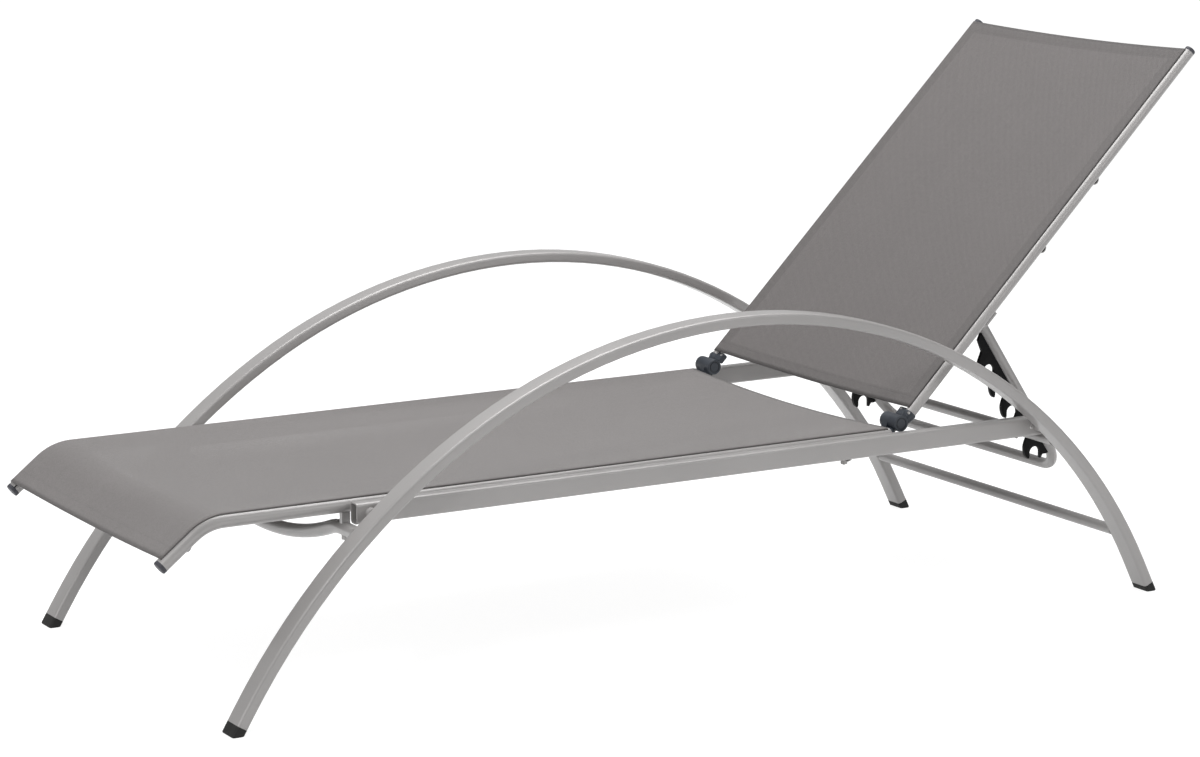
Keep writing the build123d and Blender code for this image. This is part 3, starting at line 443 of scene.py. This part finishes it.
seatLine = {"rear": 0.307, "bend": -0.7725, "height": 0.28325, "radius": 0.075,
            "angle": radians(38), "drop": 0.0545}
seatSpec = {**clothBase, "wrap": 0.0122, "turn": radians(30), "sag": 0.0085, "along": 130,
            "hemEnd": 0.026, "hemSide": 0.030,
            "foldShares": (0.06, 0.12, 0.2, 0.32, 0.46, 0.6, 0.74, 0.88, 1.0)}
seatFlat = seatLine["rear"] - seatLine["bend"]
seatArc = (seatLine["radius"] + seatSpec["wrap"]) * seatLine["angle"]
seatSpec["half"] = wrapShape(seatSpec)[2]
seatSpec["length"] = seatFlat + seatArc + seatLine["drop"]


def seatPlace(y, rise, v):
    angle = min(max(v - seatFlat, 0) / seatArc, 1) * seatLine["angle"]
    down = max(v - seatFlat - seatArc, 0)
    radius = seatLine["radius"] + rise
    x = seatLine["rear"] - min(v, seatFlat) - radius * sin(angle) - down * cos(angle)
    z = seatLine["height"] - seatLine["radius"] + radius * cos(angle) - down * sin(angle)
    return Vector((x, y, z))


backLine = {"pin": (0.328, 0.300), "angle": radians(45), "start": 0.029, "end": 0.7505,
            "front": -0.0074}
backSpec = {**clothBase, "wrap": 0.01045, "turn": radians(12), "sag": 0.008, "along": 90,
            "hemEnd": 0.022, "hemSide": 0.024,
            "foldShares": (0.08, 0.2, 0.34, 0.5, 0.66, 0.82, 1.0)}
backSpec["half"] = wrapShape(backSpec)[2]
backSpec["length"] = backLine["end"] - backLine["start"]


def backPlace(y, rise, v):
    along, front = backLine["start"] + v, backLine["front"] + rise
    c, s = cos(backLine["angle"]), sin(backLine["angle"])
    pinX, pinZ = backLine["pin"]
    return Vector((pinX + along * c - front * s, y, pinZ + along * s + front * c))


# the edge darkening in this tone is painted shade where the cloth meets the rails
clothTone = {"dark": (0.146, 0.136, 0.134, 1), "light": (0.213, 0.199, 0.196, 1),
             "warp": 620.0, "weft": 620.0, "open": 0.9, "sideShade": 0.0045,
             "endShade": 0.006, "hemDark": 0.15, "paintedEdgeShade": 0.42, "seamDark": 0.12,
             "sheen": 0.22, "sheenRough": 0.35, "rough": 0.56, "cloudRough": 0.14,
             "specular": 0.3, "cloudScale": 7.0, "cloudDetail": 4.0, "cloudShare": 0.3,
             "slubStretch": (190.0, 3.0, 1.0), "slubScale": 1.0, "slubDetail": 2.0,
             "slubShare": 0.25, "yarnShare": 0.45, "depthFrom": (0.15, 0.8),
             "depthTo": (0.62, 1.05), "seamDepth": 0.8, "bump": 0.6, "bumpDepth": 0.0003}
# painted light: the seat's copy of the cloth tone is lighter than the back's, standing in for the
# back being less lit
seatLitTone = {"dark": (0.198, 0.186, 0.183, 1), "light": (0.284, 0.267, 0.263, 1),
            "hemDark": 0.03}


def clothLooks(name, spec, tone):
    sizes = {key: spec[key] for key in ("half", "length", "hemEnd")}
    return clothMaterial(name, {**clothTone, **tone, **sizes})


seatMesh = clothPiece("seatMesh", seatSpec, seatPlace, clothLooks("seatCloth", seatSpec, seatLitTone))
backMesh = clothPiece("backMesh", backSpec, backPlace, clothLooks("backCloth", backSpec, {}))
for piece, node, body, slot, rail, spec in (
        (seatMesh, "seat_sling", "base", "seat_mesh", "seat_rail", seatSpec),
        (backMesh, "back_sling", "backrest", "back_mesh", "back_rail", backSpec)):
    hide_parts(node)
    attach(piece, body)
print("mesh cloth made")


# white floor that keeps the object's shadow, seen brighter than it lights the object
floorSpec = {"radius": 30.0, "segments": 96, "paper": (0.34, 0.34, 0.34, 1),
             "bounce": (0.62, 0.62, 0.62, 1), "glow": 0.90}


def seenBy(tree, *rays):
    path = addNode(tree, "ShaderNodeLightPath").outputs
    seen = path[rays[-1]]
    for ray in reversed(rays[:-1]):
        seen = maths(tree, "MAXIMUM", path[ray], seen)
    return seen


def stageFloor(spec):
    bm = bmesh.new()
    bmesh.ops.create_circle(bm, cap_ends=True, segments=spec["segments"], radius=spec["radius"])
    mesh = bpy.data.meshes.new("floor")
    bm.to_mesh(mesh)
    bm.free()
    floor = bpy.data.objects.new("floor", mesh)
    bpy.context.scene.collection.objects.link(floor)
    material, tree = startMaterial("floorPaper")[:2]
    seen = seenBy(tree, "Is Camera Ray", "Is Glossy Ray", "Is Transmission Ray")
    paper = addNode(tree, "ShaderNodeBsdfDiffuse", {"Color": spec["paper"]})
    bounce = addNode(tree, "ShaderNodeBsdfDiffuse", {"Color": spec["bounce"]})
    glow = addNode(tree, "ShaderNodeEmission",
                   {"Color": (1, 1, 1, 1), "Strength": spec["glow"]})
    bright = addNode(tree, "ShaderNodeAddShader", {0: paper.outputs[0], 1: glow.outputs[0]})
    both = addNode(tree, "ShaderNodeMixShader",
                   {0: seen, 1: bounce.outputs[0], 2: bright.outputs[0]})
    out = next(node for node in tree.nodes if node.type == "OUTPUT_MATERIAL")
    tree.links.new(both.outputs[0], out.inputs["Surface"])
    mesh.materials.append(material)


stageFloor(floorSpec)

worldSpec = {"light": 0.40, "seen": 1.0}


def lightWorld(spec):
    world = bpy.data.worlds.new("studio")
    bpy.context.scene.world = world
    world.use_nodes = True
    tree = world.node_tree
    seen = seenBy(tree, "Is Camera Ray", "Is Transmission Ray")
    sky = tree.nodes["Background"].inputs
    tree.links.new(remap(tree, seen, 0.0, 1.0, spec["light"], spec["seen"]), sky["Strength"])
    sky["Color"].default_value = (1, 1, 1, 1)


lightWorld(worldSpec)


def softbox(name, spec):
    light = bpy.data.lights.new(name, "AREA")
    light.shape = "RECTANGLE"
    light.size, light.size_y = spec["size"]
    light.energy = spec["energy"]
    lamp = bpy.data.objects.new(name, light)
    bpy.context.scene.collection.objects.link(lamp)
    lamp.location = spec["place"]
    aim = Vector(spec["at"]) - Vector(spec["place"])
    lamp.rotation_euler = aim.to_track_quat("-Z", "Y").to_euler()


softbox("topBox", {"size": (3.0, 2.2), "energy": 84.0, "place": (0.2, 0.2, 3.1),
                   "at": (0.0, 0, 0.3)})
softbox("sideBox", {"size": (2.0, 1.6), "energy": 18.0, "place": (1.9, -4.2, 1.9),
                    "at": (0.1, 0, 0.35)})
softbox("frontBox", {"size": (1.4, 1.2), "energy": 30.0, "place": (-4.2, -0.6, 1.3),
                     "at": (-0.6, 0, 0.25)})
softbox("ridgeBox", {"size": (0.6, 0.6), "energy": 26.0, "place": (-3.1, -2.9, 3.3),
                     "at": (-0.4, 0, 0.3)})

cameraSpec = {"place": (-2.6773, -4.6805, 1.3907), "forward": (0.48391, 0.85456, -0.18858),
              "roll": -0.43, "lens": 108.351, "sensor": 36.0, "clipEnd": 100.0}


def placeCamera(spec):
    forward = Vector(spec["forward"]).normalized()
    right = forward.cross(Vector((0, 0, 1))).normalized()
    up = right.cross(forward)
    roll = radians(spec["roll"])
    turnedRight = right * cos(roll) + up * sin(roll)
    turnedUp = up * cos(roll) - right * sin(roll)
    data = bpy.data.cameras.new("camera")
    data.sensor_width = spec["sensor"]
    data.lens = spec["lens"]
    data.clip_end = spec["clipEnd"]
    camera = bpy.data.objects.new("camera", data)
    bpy.context.scene.collection.objects.link(camera)
    turn = Matrix((turnedRight, turnedUp, -forward)).transposed().to_4x4()
    camera.matrix_world = Matrix.Translation(Vector(spec["place"])) @ turn
    bpy.context.scene.camera = camera


placeCamera(cameraSpec)
bpy.context.scene.view_settings.view_transform = "Standard"
print("stage, lights and camera set")
